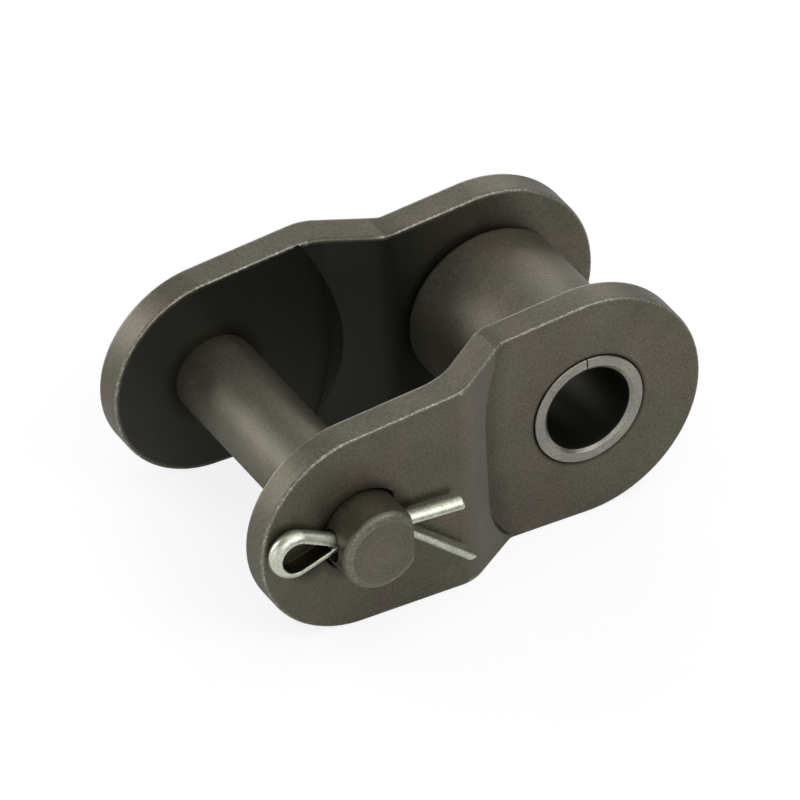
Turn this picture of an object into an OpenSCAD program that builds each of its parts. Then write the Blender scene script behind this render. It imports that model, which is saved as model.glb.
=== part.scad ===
// Offset link of a roller chain, 12.7 mm pitch. Two cranked side plates carry a curled
// bush with its roller at one end, and a loose pin held by a split pin at the other.
// The origin is the middle of the bush bore. X runs along the chain, Y along the pin
// and the bush, and Z across the height of the plates.

/* [Chain] */
// Distance from the pin axis to the bush axis
pitch = 12.7; // [12.4:0.05:13.4]
// Width between the side plates at the roller
inner_width = 7.95; // [7.5:0.05:8.4]
// Width between the side plates at the pin
pin_end_width = 11.8; // [11.4:0.05:12.2]

/* [Side plates] */
// Thickness of the plate stock
plate_t = 1.5; // [1.3:0.05:1.6]
// Radius of the plate round the bush
bush_end_r = 5.75; // [5.4:0.05:6.1]
// Radius of the plate round the pin
pin_end_r = 5.1; // [4.7:0.05:5.4]
// Slope of the crank between its two bends, in degrees
crank_angle = 33; // [28:0.5:38]
// Distance from the pin axis to the start of the crank
crank_start = 4.8; // [4.5:0.05:5]
// Bend radius on the hollow side of each bend
bend_r = 0.8; // [0.5:0.05:1]
// Radius of the curved edge of the flat coined on the inner face
pin_flat_edge_r = 11; // [8:0.5:14]
// Distance from the bush axis to the edge of the flat coined on the outer face
bush_flat_reach = 5.5; // [5.3:0.05:5.7]
// Corner radius of the flat coined on the outer face
bush_flat_corner = 5; // [4:0.1:6]
// Half the length of the straight edge of that flat
bush_flat_straight = 2; // [1.5:0.1:3]
// Slope of the walls left by coining, in degrees
coin_angle = 72; // [65:1:80]
// Chamfer round the holes, on the outer face
hole_chamfer = 0.12; // [0.05:0.01:0.2]

/* [Bush] */
// Wall thickness of the curled bush
bush_wall = 0.78; // [0.7:0.02:0.9]
// How far each bush end stands past the plate
bush_proud = 0.05; // [0:0.01:0.12]
// Width of the lead-in chamfer at each mouth of the bore
bush_lead_in = 0.11; // [0.05:0.01:0.2]
// Width of the butt seam along the bush
seam_gap = 0.05; // [0.02:0.01:0.08]

/* [Roller] */
// Outside diameter of the roller
roller_d = 7.92; // [7.6:0.02:8.2]
// Rounding of the roller edges
roller_edge_r = 0.3; // [0.1:0.05:0.5]
// Radial play between the roller and the bush
roller_play = 0.05; // [0.02:0.01:0.1]
// Gap between each roller end and the plate
roller_end_gap = 0.12; // [0.05:0.01:0.2]

/* [Pin] */
// Diameter of the pin
pin_d = 3.97; // [3.8:0.01:4.1]
// Distance from the pin axis to its flat
pin_flat = 1.5; // [1.3:0.05:1.6]
// How far the full round of the pin stands past the front plate
pin_front_out = 1.85; // [1.8:0.05:2.1]
// How far the pin stands past the rear plate
pin_rear_out = 0.9; // [0.5:0.05:1.2]
// Width of the chamfer at the pin ends
pin_chamfer = 0.28; // [0.15:0.01:0.35]
// Depth of that chamfer along the pin
pin_chamfer_depth = 0.15; // [0.1:0.01:0.3]
// Diameter of the cross hole for the split pin
cross_hole_d = 1.5; // [1.5:0.02:1.56]
// Height of the cross hole above the pin axis
cross_hole_up = 0.25; // [0:0.05:0.35]

/* [Split pin] */
// Radius of the half-round wire
wire_r = 0.46; // [0.4:0.01:0.47]
// Inside radius of the eye
eye_r = 0.74; // [0.6:0.02:0.8]
// Distance from the pin surface to the centre of the eye
eye_reach = 1.78; // [1.7:0.02:2]
// Bend radius of the wire where the eye narrows to the legs
neck_bend_r = 0.9; // [0.7:0.05:0.95]
// How far inside the cross hole the neck starts
neck_depth = 0.25; // [0:0.05:0.3]
// Length of the straight leg past the pin flat
straight_leg = 3.15; // [2.4:0.05:3.6]
// Length of the bent leg after its bend
bent_leg = 4.3; // [2.8:0.1:4.6]
// How far the bent leg is opened, in degrees
leg_splay = 36.5; // [20:0.5:45]
// Bend radius of the opened leg
leg_bend_r = 1; // [0.8:0.05:1.4]
// How far inside the pin flat the leg starts to bend
leg_bend_in = 0.15; // [0:0.05:0.3]
// Gap between the two legs
leg_gap = 0.05; // [0.02:0.01:0.08]
// Lean of the split pin towards the bent leg, in degrees
lean_down = 5.3; // [3:0.1:6]
// Lean of the legs away from the plate, in degrees
lean_out = 1; // [0.5:0.5:4]

/* [Fits] */
// Radial gap of the bush and of the pin in the plates that hold them tight
tight_gap = 0.01; // [0.01:0.005:0.02]
// Radial gap of the pin in the front plate, where it pushes through by hand
loose_gap = 0.08; // [0.04:0.01:0.12]
// Radial running gap between a chain pin and the bush bore
pin_play = 0.015; // [0.01:0.005:0.04]
// Gap between pieces that are laid against each other
seat_gap = 0.02; // [0.01:0.01:0.05]
// Gap between a swinging plate of the next link and the edge of its coined flat
swing_gap = 0.19; // [0.15:0.01:0.3]

/* [Hidden] */
$fn = 96;

// Heights of the plate faces, measured from the middle plane
bush_end_inner_y = inner_width / 2;
bush_end_outer_y = bush_end_inner_y + plate_t;
pin_end_inner_y = pin_end_width / 2;
pin_end_outer_y = pin_end_inner_y + plate_t;

// Crank: bend centres and the straight ramp between them
ramp_l = ((2 * bend_r + plate_t) * cos(crank_angle) - 2 * bend_r
          + pin_end_inner_y - bush_end_outer_y) / sin(crank_angle);
crank_l = (2 * bend_r + plate_t) * sin(crank_angle) + ramp_l * cos(crank_angle);
bend_near_pin = [crank_start - pitch, pin_end_inner_y - bend_r];
bend_near_bush = [crank_start + crank_l - pitch, bush_end_outer_y + bend_r];
flank_angle = asin((bush_end_r - pin_end_r) / pitch);
pin_flat_reach = bush_end_r + swing_gap;
plate_reach = pitch + 2 * bush_end_r;

// Bush and roller
bush_bore_r = pin_d / 2 + pin_play;
bush_r = bush_bore_r + bush_wall;
bush_l = inner_width + 2 * plate_t + 2 * bush_proud;
roller_bore_r = bush_r + roller_play;
roller_l = inner_width - 2 * roller_end_gap;

// Pin
pin_r = pin_d / 2;
pin_front_y = -pin_end_outer_y - pin_front_out;
pin_rear_y = pin_end_outer_y + pin_rear_out;

// Split pin: the slant of the wire between the neck and the eye follows from the
// common tangent of the neck bend and the eye
eye_u = pin_r + eye_reach;
neck_u = pin_r - neck_depth;
neck_rise = leg_gap / 2 + neck_bend_r;
neck_to_eye = sqrt(pow(eye_u - neck_u, 2) + neck_rise * neck_rise);
slant_l = sqrt(neck_to_eye * neck_to_eye - pow(neck_bend_r + eye_r, 2));
slant = atan2(neck_bend_r + eye_r, slant_l) - atan2(neck_rise, eye_u - neck_u);
leg_bend_u = pin_flat - leg_bend_in;
leg_tip_u = pin_flat + straight_leg;
eye_tip_u = eye_u + eye_r + wire_r;
eye_tip_y = -pin_end_outer_y - seat_gap - wire_r;
cross_hole_y = eye_tip_y - eye_tip_u * tan(lean_out);

// Cutting tools run this far past the faces they open
over = 1;

// Steps along each plate bend, sides of the wire's round, and degrees of each wire step
bend_steps = 8;
wire_sides = 10;
wire_turn_step = 6;

// Plate outline: two rounds joined by straight flanks, with X along the chain
module plate_outline() {
    circle(r = bush_end_r);
    translate([-pitch, 0]) circle(r = pin_end_r);
    polygon([
        [-bush_end_r * sin(flank_angle), bush_end_r * cos(flank_angle)],
        [-pitch - pin_end_r * sin(flank_angle), pin_end_r * cos(flank_angle)],
        [-pitch - pin_end_r * sin(flank_angle), -pin_end_r * cos(flank_angle)],
        [-bush_end_r * sin(flank_angle), -bush_end_r * cos(flank_angle)]
    ]);
}

// Points of an arc round a centre, from one angle to another
function arc_points(centre, radius, from_angle, to_angle) =
    [for (i = [0:bend_steps])
        let (a = from_angle + (to_angle - from_angle) * i / bend_steps)
        centre + radius * [cos(a), sin(a)]];

// Section of the cranked stock along the chain, with both bends rounded
module crank_section() {
    polygon(concat(
        [[-plate_reach, pin_end_outer_y]],
        arc_points(bend_near_pin, bend_r + plate_t, 90, 90 - crank_angle),
        arc_points(bend_near_bush, bend_r, -90 - crank_angle, -90),
        [[plate_reach, bush_end_outer_y], [plate_reach, bush_end_inner_y]],
        arc_points(bend_near_bush, bend_r + plate_t, -90, -90 - crank_angle),
        arc_points(bend_near_pin, bend_r, 90 - crank_angle, 90),
        [[-plate_reach, pin_end_inner_y]]
    ));
}

// Room coined on the inner face, where the plates of the next link swing round the pin
module pin_side_coining() {
    depth = pin_end_inner_y - bush_end_inner_y + over;
    translate([pin_flat_reach - pitch - pin_flat_edge_r, pin_end_inner_y, 0]) rotate([90, 0, 0])
        cylinder(h = depth, r1 = pin_flat_edge_r, r2 = pin_flat_edge_r + depth / tan(coin_angle));
}

// Room coined on the outer face for the plates of the next link, round the bush
module bush_side_coining() {
    depth = pin_end_outer_y - bush_end_outer_y + over;
    spread = depth / tan(coin_angle);
    corner_x = bush_flat_corner - bush_flat_reach;
    translate([0, bush_end_outer_y, 0]) {
        for (side = [-1, 1])
            translate([corner_x, 0, side * bush_flat_straight]) rotate([-90, 0, 0])
                cylinder(h = depth, r1 = bush_flat_corner, r2 = bush_flat_corner + spread);
        linear_extrude(height = 2 * bush_flat_straight, center = true)
            polygon([
                [-bush_flat_reach, 0],
                [-bush_flat_reach - spread, depth],
                [corner_x, depth],
                [corner_x, 0]
            ]);
    }
}

// Cranked plate on the +Y side with its bush hole, before the pin hole is made
module cranked_plate() {
    hole_r = bush_r + tight_gap;
    difference() {
        intersection() {
            rotate([-90, 0, 0])
                linear_extrude(height = pin_end_outer_y + over) plate_outline();
            linear_extrude(height = 2 * plate_reach, center = true) crank_section();
        }
        pin_side_coining();
        bush_side_coining();
        rotate([-90, 0, 0]) cylinder(h = bush_end_outer_y + over, r = hole_r);
        translate([0, bush_end_outer_y - hole_chamfer, 0]) rotate([-90, 0, 0])
            cylinder(h = 2 * hole_chamfer, r1 = hole_r, r2 = hole_r + 2 * hole_chamfer);
    }
}

// Section of the pin hole in the front plate: round, with a flat that stops the pin turning
module keyed_hole_section() {
    hole_r = pin_r + loose_gap;
    intersection() {
        circle(r = hole_r);
        translate([-hole_r, -hole_r]) square([hole_r + pin_flat + loose_gap, 2 * hole_r]);
    }
}

module front_side_plate() {
    color([0.33, 0.32, 0.29])
    difference() {
        mirror([0, 1, 0]) cranked_plate();
        translate([-pitch, 0, 0]) rotate([90, 0, 0])
            linear_extrude(height = pin_end_outer_y + over) keyed_hole_section();
    }
}

module rear_side_plate() {
    hole_r = pin_r + tight_gap;
    color([0.33, 0.32, 0.29])
    difference() {
        cranked_plate();
        translate([-pitch, 0, 0]) rotate([-90, 0, 0])
            cylinder(h = pin_end_outer_y + over, r = hole_r);
        translate([-pitch, pin_end_outer_y - hole_chamfer, 0]) rotate([-90, 0, 0])
            cylinder(h = 2 * hole_chamfer, r1 = hole_r, r2 = hole_r + 2 * hole_chamfer);
    }
}

// Strip curled into a tube, with its butt seam on top
module bush() {
    color([0.55, 0.54, 0.52])
    rotate([90, 0, 0])
    difference() {
        cylinder(h = bush_l, r = bush_r, center = true);
        cylinder(h = bush_l + 2 * over, r = bush_bore_r, center = true);
        for (end = [0, 1]) mirror([0, 0, end])
            translate([0, 0, bush_l / 2 - bush_lead_in])
                cylinder(h = 2 * bush_lead_in, r1 = bush_bore_r, r2 = bush_bore_r + 2 * bush_lead_in);
        translate([-seam_gap / 2, 0, -bush_l / 2 - over])
            cube([seam_gap, bush_r + over, bush_l + 2 * over]);
    }
}

// Half of the roller wall, from its bore outwards, with a rounded outer edge
module roller_section() {
    wall = roller_d / 2 - roller_bore_r;
    translate([roller_bore_r, -roller_l / 2]) {
        square([wall - roller_edge_r, roller_l]);
        translate([0, roller_edge_r]) square([wall, roller_l - 2 * roller_edge_r]);
        for (y = [roller_edge_r, roller_l - roller_edge_r])
            translate([wall - roller_edge_r, y]) circle(r = roller_edge_r);
    }
}

module roller() {
    color([0.36, 0.34, 0.30])
    rotate([90, 0, 0]) rotate_extrude() roller_section();
}

// Turned pin with a milled flat at its front end, which leaves a shoulder inside the plate
module link_pin() {
    nose = pin_r - pin_chamfer;
    shoulder_y = -pin_end_inner_y + seat_gap;
    flat_l = shoulder_y - pin_front_y + pin_chamfer_depth + over;
    color([0.36, 0.35, 0.31])
    translate([-pitch, 0, 0])
    difference() {
        rotate([-90, 0, 0]) rotate_extrude()
            polygon([
                [0, pin_front_y - pin_chamfer_depth],
                [nose, pin_front_y - pin_chamfer_depth],
                [pin_r, pin_front_y],
                [pin_r, pin_rear_y - pin_chamfer_depth],
                [nose, pin_rear_y],
                [0, pin_rear_y]
            ]);
        translate([pin_flat, shoulder_y - flat_l, -pin_d])
            cube([pin_d, flat_l, 2 * pin_d]);
        translate([0, cross_hole_y, cross_hole_up]) rotate([0, 90, 0])
            cylinder(h = 2 * pin_d, d = cross_hole_d, center = true);
    }
}

// The wire is walked from the tip of the straight leg, on the middle of its flat side.
// Each move is a straight run, then a turn: [length, angle to the left, radius].
wire_moves = [
    [leg_tip_u + neck_u, -slant, neck_bend_r],
    [slant_l, 180 + 2 * slant, eye_r],
    [slant_l, -slant, neck_bend_r],
    [neck_u + leg_bend_u, -leg_splay, leg_bend_r],
    [bent_leg, 0, 0]
];

// Where a walk stands after a run
function run_end(place, length) =
    [place[0] + length * cos(place[2]), place[1] + length * sin(place[2]), place[2]];

// Where a walk stands after a turn to the left by an angle
function turn_end(place, angle, radius) =
    let (side = angle < 0 ? -90 : 90)
    let (centre = [place[0] + radius * cos(place[2] + side), place[1] + radius * sin(place[2] + side)])
    [centre[0] + radius * cos(place[2] - side + angle),
     centre[1] + radius * sin(place[2] - side + angle),
     place[2] + angle];

// Stations along the wire, each [x, y, heading], from one move to the last
function walk(place, move = 0) =
    move == len(wire_moves) ? [place] :
    let (m = wire_moves[move])
    let (corner = run_end(place, m[0]))
    let (steps = ceil(abs(m[1]) / wire_turn_step))
    concat(
        [place],
        [for (i = [0:steps - 1]) if (i > 0 || m[1] != 0) turn_end(corner, m[1] * i / steps, m[2])],
        walk(m[1] == 0 ? corner : turn_end(corner, m[1], m[2]), move + 1)
    );

// Half-round section of the wire at a station: its round side is on the right
function wire_ring(place) =
    [for (i = [0:wire_sides])
        let (a = -90 + 180 * i / wire_sides)
        [place[0] + wire_r * cos(a) * cos(place[2] - 90),
         place[1] + wire_r * cos(a) * sin(place[2] - 90),
         wire_r * sin(a)]];

// Half-round wire folded round an eye, with one leg left straight and one opened
module split_pin() {
    stations = walk([leg_tip_u, leg_gap / 2, 180]);
    ring_n = wire_sides + 1;
    last = len(stations) - 1;
    color([0.80, 0.80, 0.74])
    translate([-pitch, cross_hole_y, cross_hole_up]) rotate([0, lean_down, -lean_out])
        rotate([90, 0, 0])
            polyhedron(
                points = [for (place = stations) each wire_ring(place)],
                faces = concat(
                    [[for (i = [0:ring_n - 1]) i]],
                    [for (k = [0:last - 1]) for (i = [0:ring_n - 1])
                        let (j = (i + 1) % ring_n)
                        [k * ring_n + i, (k + 1) * ring_n + i, (k + 1) * ring_n + j, k * ring_n + j]],
                    [[for (i = [ring_n - 1:-1:0]) last * ring_n + i]]
                )
            );
}

front_side_plate();
rear_side_plate();
bush();
roller();
link_pin();
split_pin();
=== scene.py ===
# %% [markdown]
# # A cranked offset link
# The link joins the two ends of a roller chain when the chain has an odd number of pitches.
# It has six pieces: two cranked side plates, a curled bush, a roller that turns on the bush,
# a pin with a flat, and the split pin that keeps the pin in.
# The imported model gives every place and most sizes. Each piece is modelled here again in finer
# detail, in millimetres, and is brought to metres when it is done.

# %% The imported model
import math

import bmesh
import bpy
from mathutils import Matrix, Vector


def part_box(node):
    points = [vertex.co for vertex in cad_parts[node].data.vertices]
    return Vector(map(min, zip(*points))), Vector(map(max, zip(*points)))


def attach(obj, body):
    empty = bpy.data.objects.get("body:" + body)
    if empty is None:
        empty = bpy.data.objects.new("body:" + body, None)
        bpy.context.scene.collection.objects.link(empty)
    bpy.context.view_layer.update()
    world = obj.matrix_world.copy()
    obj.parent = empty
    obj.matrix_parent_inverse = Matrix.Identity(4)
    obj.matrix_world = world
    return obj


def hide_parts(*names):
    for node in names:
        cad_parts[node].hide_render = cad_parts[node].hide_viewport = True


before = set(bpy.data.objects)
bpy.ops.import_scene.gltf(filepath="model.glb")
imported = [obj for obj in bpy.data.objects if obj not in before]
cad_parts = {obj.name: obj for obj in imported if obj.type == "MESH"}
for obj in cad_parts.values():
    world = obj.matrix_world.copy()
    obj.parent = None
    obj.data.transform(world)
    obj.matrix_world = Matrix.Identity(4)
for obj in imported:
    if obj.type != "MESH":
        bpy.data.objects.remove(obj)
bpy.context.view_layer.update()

# %% [markdown]
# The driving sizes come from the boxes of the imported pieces. What a box can't tell, such as the
# thickness of the plate or the slope of the crank, is a named value beside it.

# %% Sizes of the link, in millimetres
MM_PER_M = 1000


def box_mm(node):
    """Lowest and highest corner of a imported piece, in millimetres."""
    low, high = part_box(node)
    return low * MM_PER_M, high * MM_PER_M


plate_low, plate_high = box_mm("rear_side_plate")
pin_low, pin_high = box_mm("link_pin")
bush_low, bush_high = box_mm("bush")
roller_low, roller_high = box_mm("roller")

PITCH = 12.7
PLATE_T = 1.5
BUSH_END_R = 5.75
PIN_END_R = 5.1
BUSH_R = 2.78
ROLLER_R = 3.96
PIN_R = 1.985
BUSH_END_INNER_Y = plate_low.y
PIN_END_OUTER_Y = plate_high.y
BUSH_END_OUTER_Y = BUSH_END_INNER_Y + PLATE_T
PIN_END_INNER_Y = PIN_END_OUTER_Y - PLATE_T
BUSH_LENGTH = bush_high.y - bush_low.y
ROLLER_LENGTH = roller_high.y - roller_low.y
print("plate from", round(plate_low.x, 3), "to", round(plate_high.x, 3), "mm along the chain")

# %% [markdown]
# ## Handling pieces
# An operator works on what is selected, so each step starts by letting go of everything and
# taking hold of one piece. In edit mode, faces and edges are picked by a test of their place.
# Leaving edit mode stores the new shape in the mesh, where the next step finds it.

# %% Taking hold and letting go
def leave_edit():
    """Back to object mode, which stores the edited shape in its mesh."""
    if bpy.context.mode != "OBJECT":
        bpy.ops.object.mode_set(mode="OBJECT")


def let_go():
    """Back to object mode with nothing selected, before a new primitive is added."""
    leave_edit()
    bpy.ops.object.select_all(action="DESELECT")


def hold(piece, *others):
    """Selects a piece, and others with it, in object mode, and makes the piece active."""
    let_go()
    for each in (*others, piece):
        each.select_set(True)
    bpy.context.view_layer.objects.active = piece
    return piece


def edit(piece):
    """Takes hold of a piece and goes into edit mode, with nothing picked."""
    hold(piece)
    bpy.ops.object.mode_set(mode="EDIT")
    bpy.ops.mesh.select_all(action="DESELECT")


# %% Picking and rounding
SAME_PLACE = 0.001


def pick(piece, kind, test):
    """In edit mode, picks the VERT, EDGE or FACE elements that pass a test."""
    bpy.ops.mesh.select_mode(type=kind)
    bpy.ops.mesh.select_all(action="DESELECT")
    shape = bmesh.from_edit_mesh(piece.data)
    family = {"VERT": shape.verts, "EDGE": shape.edges, "FACE": shape.faces}[kind]
    picked = [element for element in family if test(element)]
    for element in picked:
        element.select_set(True)
    shape.select_flush_mode()
    bmesh.update_edit_mesh(piece.data)
    return len(picked)


def pick_all(kind):
    """In edit mode, picks everything, as VERT, EDGE or FACE elements."""
    bpy.ops.mesh.select_mode(type=kind)
    bpy.ops.mesh.select_all(action="SELECT")


def round_off(size, segments, kind="EDGES"):
    """Bevels the picked edges or points with a round profile, and leaves edit mode."""
    bpy.ops.mesh.bevel(offset=size, segments=segments, profile=0.5, affect=kind)
    leave_edit()


# %% Closing, placing and cutting
MERGE_GAP = 0.0001


def close_up(piece):
    """Merges doubles, turns all faces outwards and leaves edit mode."""
    edit(piece)
    pick_all("VERT")
    bpy.ops.mesh.remove_doubles(threshold=MERGE_GAP)
    bpy.ops.mesh.normals_make_consistent(inside=False)
    leave_edit()


def turn_round(centre, angle, steps, axis=(0, 0, 1)):
    """Spins what is picked about an axis. The operator counts its angle clockwise."""
    bpy.ops.mesh.spin(steps=steps, angle=-angle, center=centre, axis=axis)


def bake_place(piece):
    """Puts a piece's place, turn and scale into its mesh."""
    hold(piece)
    bpy.ops.object.transform_apply(location=True, rotation=True, scale=True)
    return piece


def cut(piece, tool, operation="DIFFERENCE"):
    """Cuts a piece with a tool, or keeps only what they share, and throws the tool away."""
    hold(piece)
    bpy.ops.object.modifier_add(type="BOOLEAN")
    change = piece.modifiers[-1]
    change.object = tool
    change.operation = operation
    change.solver = "EXACT"
    bpy.ops.object.modifier_apply(modifier=change.name)
    bpy.data.objects.remove(tool)
    return piece


def report(piece):
    """Prints a piece's faces, its volume and how many edges are open."""
    shape = bmesh.new()
    shape.from_mesh(piece.data)
    open_edges = sum(not e.is_manifold for e in shape.edges)
    triangles = sum(len(f.verts) - 2 for f in shape.faces)
    print(f"{piece.name}: {triangles} triangles, {shape.calc_volume():.2f} mm3, {open_edges} open edges")
    shape.free()


# %% [markdown]
# ## Side plates
# A press cuts each plate from strip, bends it twice so that one end stands further out than the
# other, and squeezes two flats where the plates of the next link pass: an arc round the pin on
# the inside and a round-cornered flat round the bush on the outside.
# The plate could be one boolean of blocks, but bending a strip gives the true crank. A short
# face is extruded three times, for the pin end, the ramp and the bush end. Then its outer bend
# lines are moved along so that the ramp keeps its thickness, and each of the four bend lines is
# rounded on its own, because a die doesn't round the outside and the inside of a bend alike.

# %% Bending the strip
CRANK_ANGLE = math.radians(33)
CRANK_START = 5.037
HOLLOW_R_AT_PIN = 3.0
CORNER_R_AT_PIN = 2.0
CORNER_R_AT_BUSH = 1.6
HOLLOW_R_AT_BUSH = 0.5
BEND_SEGMENTS = 10
STRIP_HALF_HEIGHT = 7
STRIP_SPARE = 2

mitre = math.tan(CRANK_ANGLE / 2)
crank_drop = PIN_END_INNER_Y - BUSH_END_INNER_Y
crank_length = crank_drop / math.tan(CRANK_ANGLE)
bend_shift = PLATE_T * mitre
bend_at_pin = CRANK_START - PITCH
bend_at_bush = bend_at_pin + crank_length
# Place of each bend line along X and Y, and its radius
BENDS = [
    (bend_at_pin, PIN_END_INNER_Y, HOLLOW_R_AT_PIN),
    (bend_at_pin + bend_shift, PIN_END_OUTER_Y, CORNER_R_AT_PIN),
    (bend_at_bush, BUSH_END_INNER_Y, CORNER_R_AT_BUSH),
    (bend_at_bush + bend_shift, BUSH_END_OUTER_Y, HOLLOW_R_AT_BUSH),
]
print("crank from", round(bend_at_pin, 3), "to", round(bend_at_bush, 3), "mm")


def on_line(v, x, y):
    """True for a point on the line along Z through x and y."""
    return abs(v.co.x - x) < SAME_PLACE and abs(v.co.y - y) < SAME_PLACE


def bent_strip():
    """The strip of the +Y plate with both bends, longer and taller than the plate."""
    start_x = -PITCH - PIN_END_R - STRIP_SPARE
    end_x = BUSH_END_R + STRIP_SPARE
    let_go()
    bpy.ops.mesh.primitive_plane_add(
        size=1, location=(start_x, PIN_END_OUTER_Y - PLATE_T / 2, 0), rotation=(0, math.pi / 2, 0))
    strip = bpy.context.object
    strip.scale = (2 * STRIP_HALF_HEIGHT, PLATE_T, 1)
    edit(bake_place(strip))
    pick_all("FACE")
    runs = ((bend_at_pin - start_x, 0, 0), (crank_length, -crank_drop, 0), (end_x - bend_at_bush, 0, 0))
    for run in runs:
        bpy.ops.mesh.extrude_region_move(TRANSFORM_OT_translate={"value": run})
    for x, y in ((bend_at_pin, PIN_END_OUTER_Y), (bend_at_bush, BUSH_END_OUTER_Y)):
        pick(strip, "VERT", lambda v: on_line(v, x, y))
        bpy.ops.transform.translate(value=(bend_shift, 0, 0))
    for x, y, radius in BENDS:
        edit(strip)
        pick(strip, "EDGE", lambda e: all(on_line(v, x, y) for v in e.verts))
        round_off(radius * mitre, BEND_SEGMENTS)
    close_up(strip)
    return strip


rear_plate = bent_strip()
rear_plate.name = "rear_plate"
report(rear_plate)

# %% Stamping the outline
OUTLINE_SIDES = 256
SAME_PLANE = math.radians(0.2)
OVERSHOOT = 1


def round_bar(x, z, radius, y_from, y_to, sides=OUTLINE_SIDES):
    """A plain cylinder along Y between two heights."""
    let_go()
    bpy.ops.mesh.primitive_cylinder_add(
        vertices=sides, radius=radius, depth=y_to - y_from,
        location=(x, (y_from + y_to) / 2, z), rotation=(math.pi / 2, 0, 0))
    return bake_place(bpy.context.object)


def wrap(first, second):
    """Joins two shapes and stretches one skin over both, with flat faces kept whole."""
    hold(first, second)
    bpy.ops.object.join()
    edit(first)
    pick_all("VERT")
    bpy.ops.mesh.delete(type="EDGE_FACE")
    pick_all("VERT")
    bpy.ops.mesh.convex_hull(join_triangles=False)
    pick_all("VERT")
    bpy.ops.mesh.dissolve_limited(angle_limit=SAME_PLANE)
    leave_edit()
    return first


ends = [
    round_bar(x, 0, radius, BUSH_END_INNER_Y - OVERSHOOT, PIN_END_OUTER_Y + OVERSHOOT)
    for x, radius in ((0, BUSH_END_R), (-PITCH, PIN_END_R))]
cut(rear_plate, wrap(*ends), "INTERSECT")
report(rear_plate)

# %% [markdown]
# A stamped plate has sharp rims until it is tumbled with stones, which rounds every outer edge.
# So the rims are bevelled now, before the flats are squeezed, and only where an edge runs along
# the outline: an edge that runs straight through the thickness only joins two rim faces. The
# profile is squarer than a quarter round, as tumbling wears a broad band but takes off little.

# %% Rounding the rims
RIM_ROUND = 0.21
RIM_SEGMENTS = 6
RIM_SQUARENESS = 0.68
NEAR_OUTLINE = 0.005
FLANK_ANGLE = math.asin((BUSH_END_R - PIN_END_R) / PITCH)


def outline_depth(x, z):
    """How far a point lies inside the plate's outline, in millimetres."""
    along = x * math.cos(FLANK_ANGLE) + abs(z) * math.sin(FLANK_ANGLE)
    across = abs(z) * math.cos(FLANK_ANGLE) - x * math.sin(FLANK_ANGLE)
    straight = PITCH * math.cos(FLANK_ANGLE)
    if along > 0:
        return BUSH_END_R - math.hypot(x, z)
    if along < -straight:
        return PIN_END_R - math.hypot(x + PITCH, z)
    return BUSH_END_R - across


def on_outline(point):
    return abs(outline_depth(point.x, point.z)) < NEAR_OUTLINE


def rim_edge(edge):
    """An edge that follows the outline and doesn't run through the thickness."""
    one, other = (v.co for v in edge.verts)
    along = math.hypot(one.x - other.x, one.z - other.z)
    return along > SAME_PLACE and all(on_outline(place) for place in (one, other, (one + other) / 2))


edit(rear_plate)
rims = pick(rear_plate, "EDGE", rim_edge)
bpy.ops.mesh.bevel(
    offset=RIM_ROUND, segments=RIM_SEGMENTS, profile=RIM_SQUARENESS, affect="EDGES", clamp_overlap=False)
leave_edit()
print("rim edges rounded:", rims)
report(rear_plate)

# %% [markdown]
# The squeezed flats are cut with tools that have the shape of the press tool: a steep wall, with
# its lower rim bevelled so that the wall runs into the flat through a small fillet. Each tool
# stops a hair off the plate's own flat, so that no two faces lie in one plane.

# %% Squeezing the flats
PIN_FLAT_REACH = 5.94
PIN_FLAT_EDGE_R = 11
BUSH_FLAT_REACH = 5.5
BUSH_FLAT_CORNER = 5
BUSH_FLAT_STRAIGHT = 2
COIN_ANGLE = math.radians(72)
COIN_FILLET = 0.1
HAIR = 0.004


def coin_tool(x, z, radius, floor_y, top_y):
    """A cone frustum along Y whose small end is the floor of a squeezed flat."""
    height = abs(top_y - floor_y)
    turn = -math.pi / 2 if top_y > floor_y else math.pi / 2
    let_go()
    bpy.ops.mesh.primitive_cone_add(
        vertices=OUTLINE_SIDES, radius1=radius, radius2=radius + height / math.tan(COIN_ANGLE),
        depth=height, location=(x, (floor_y + top_y) / 2, z), rotation=(turn, 0, 0))
    return bake_place(bpy.context.object)


def soften_floor(tool, floor_y):
    """Bevels the rim of a tool's floor."""
    edit(tool)
    pick(tool, "EDGE", lambda e: all(abs(v.co.y - floor_y) < SAME_PLACE for v in e.verts))
    round_off(COIN_FILLET, segments=4)
    return tool


pin_floor_y = PIN_END_INNER_Y - HAIR
flat_edge_x = -PITCH + PIN_FLAT_REACH - PIN_FLAT_EDGE_R
inner_tool = coin_tool(flat_edge_x, 0, PIN_FLAT_EDGE_R, pin_floor_y, BUSH_END_INNER_Y - OVERSHOOT)
cut(rear_plate, inner_tool)

bush_floor_y = BUSH_END_OUTER_Y + HAIR
corner_x = BUSH_FLAT_CORNER - BUSH_FLAT_REACH
corners = [
    coin_tool(corner_x, z, BUSH_FLAT_CORNER, bush_floor_y, PIN_END_OUTER_Y + OVERSHOOT)
    for z in (-BUSH_FLAT_STRAIGHT, BUSH_FLAT_STRAIGHT)]
cut(rear_plate, soften_floor(wrap(*corners), bush_floor_y))
report(rear_plate)

# %% [markdown]
# The bush hole goes through both plates alike. The pin hole is round in the rear plate and has a
# flat side in the front plate, which stops the pin from turning. So the plate is copied and
# mirrored once it has its bush hole, and each copy then gets its own pin hole.

# %% Holes
TIGHT_GAP = 0.01
LOOSE_GAP = 0.08
PIN_FLAT = 1.5
HOLE_CHAMFER = 0.12
HOLE_SIDES = 160
NEAR_FACE = 0.002
NEAR_CIRCLE = 0.01


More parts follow.
